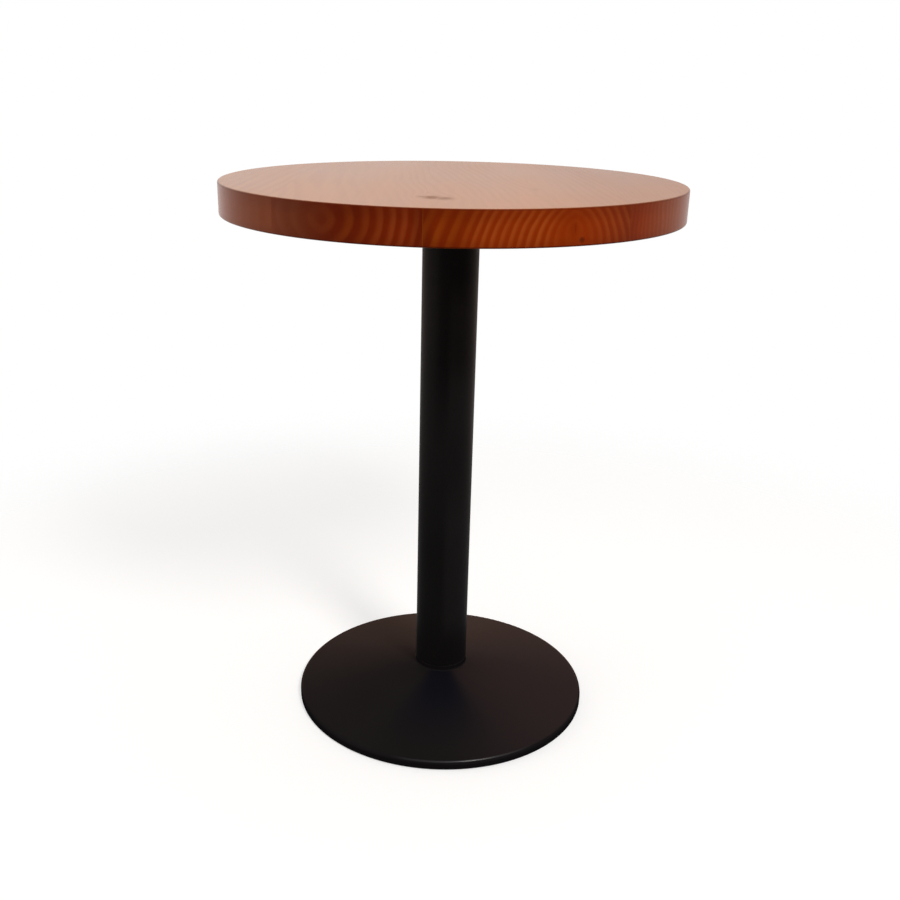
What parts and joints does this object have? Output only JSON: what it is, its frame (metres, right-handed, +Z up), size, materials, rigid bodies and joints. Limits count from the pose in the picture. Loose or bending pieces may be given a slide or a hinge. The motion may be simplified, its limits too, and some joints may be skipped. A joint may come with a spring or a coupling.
{
  "type": "dining table",
  "caption": "Round pedestal dining table: edge-glued solid wood top on a black steel column with a shallow cast disc base and levelling glides.",
  "frame": {"origin": "on the floor, under the centre of the column", "axes": "+Z up along the column; the boards of the top run along Y; +X across the boards"},
  "size_m": [0.6, 0.5998, 0.76],
  "materials": {
    "wood_top": "clear satin lacquer over a red-brown stain",
    "painted_steel": "fine black powder coat",
    "painted_casting": "black powder coat on a casting",
    "zinc_steel": "zinc plated",
    "glide_plastic": "moulded nylon"
  },
  "bodies": {
    "table": {"top_stave_1": "wood_top", "top_stave_2": "wood_top", "top_stave_3": "wood_top", "top_stave_4": "wood_top", "top_bracket": "painted_steel", "wood_screws": "zinc_steel", "column": "painted_steel", "base_casting": "painted_casting", "tie_rod": "zinc_steel", "upper_nut": "zinc_steel", "upper_spring_washer": "zinc_steel", "upper_washer": "zinc_steel", "lower_nut": "zinc_steel", "lower_spring_washer": "zinc_steel", "lower_washer": "zinc_steel"},
    "glide_pad_1": {"glide_pad_1": "glide_plastic"},
    "glide_stud_1": {"glide_stud_1": "zinc_steel"},
    "glide_pad_2": {"glide_pad_2": "glide_plastic"},
    "glide_stud_2": {"glide_stud_2": "zinc_steel"},
    "glide_pad_3": {"glide_pad_3": "glide_plastic"},
    "glide_stud_3": {"glide_stud_3": "zinc_steel"},
    "glide_pad_4": {"glide_pad_4": "glide_plastic"},
    "glide_stud_4": {"glide_stud_4": "zinc_steel"}
  },
  "joints": [
    {"name": "glide_1_travel", "type": "slide", "parent": "table", "child": "glide_pad_1", "axis": [0, 0, -1], "range_m": [0, 0.006]},
    {"name": "glide_1_turn", "type": "hinge", "parent": "glide_pad_1", "child": "glide_stud_1", "pos_m": [0.12021, 0.12021, 0.008], "axis": [0, 0, -1], "range_deg": [0, 1730]},
    {"name": "glide_2_travel", "type": "slide", "parent": "table", "child": "glide_pad_2", "axis": [0, 0, -1], "range_m": [0, 0.006]},
    {"name": "glide_2_turn", "type": "hinge", "parent": "glide_pad_2", "child": "glide_stud_2", "pos_m": [-0.12021, 0.12021, 0.008], "axis": [0, 0, -1], "range_deg": [0, 1730]},
    {"name": "glide_3_travel", "type": "slide", "parent": "table", "child": "glide_pad_3", "axis": [0, 0, -1], "range_m": [0, 0.006]},
    {"name": "glide_3_turn", "type": "hinge", "parent": "glide_pad_3", "child": "glide_stud_3", "pos_m": [-0.12021, -0.12021, 0.008], "axis": [0, 0, -1], "range_deg": [0, 1730]},
    {"name": "glide_4_travel", "type": "slide", "parent": "table", "child": "glide_pad_4", "axis": [0, 0, -1], "range_m": [0, 0.006]},
    {"name": "glide_4_turn", "type": "hinge", "parent": "glide_pad_4", "child": "glide_stud_4", "pos_m": [0.12021, -0.12021, 0.008], "axis": [0, 0, -1], "range_deg": [0, 1730]}
  ],
  "couplings": [
    {"joint": "glide_1_turn", "follows": "glide_1_travel", "rad_per_m": 5026.5},
    {"joint": "glide_2_turn", "follows": "glide_2_travel", "rad_per_m": 5026.5},
    {"joint": "glide_3_turn", "follows": "glide_3_travel", "rad_per_m": 5026.5},
    {"joint": "glide_4_turn", "follows": "glide_4_travel", "rad_per_m": 5026.5}
  ]
}
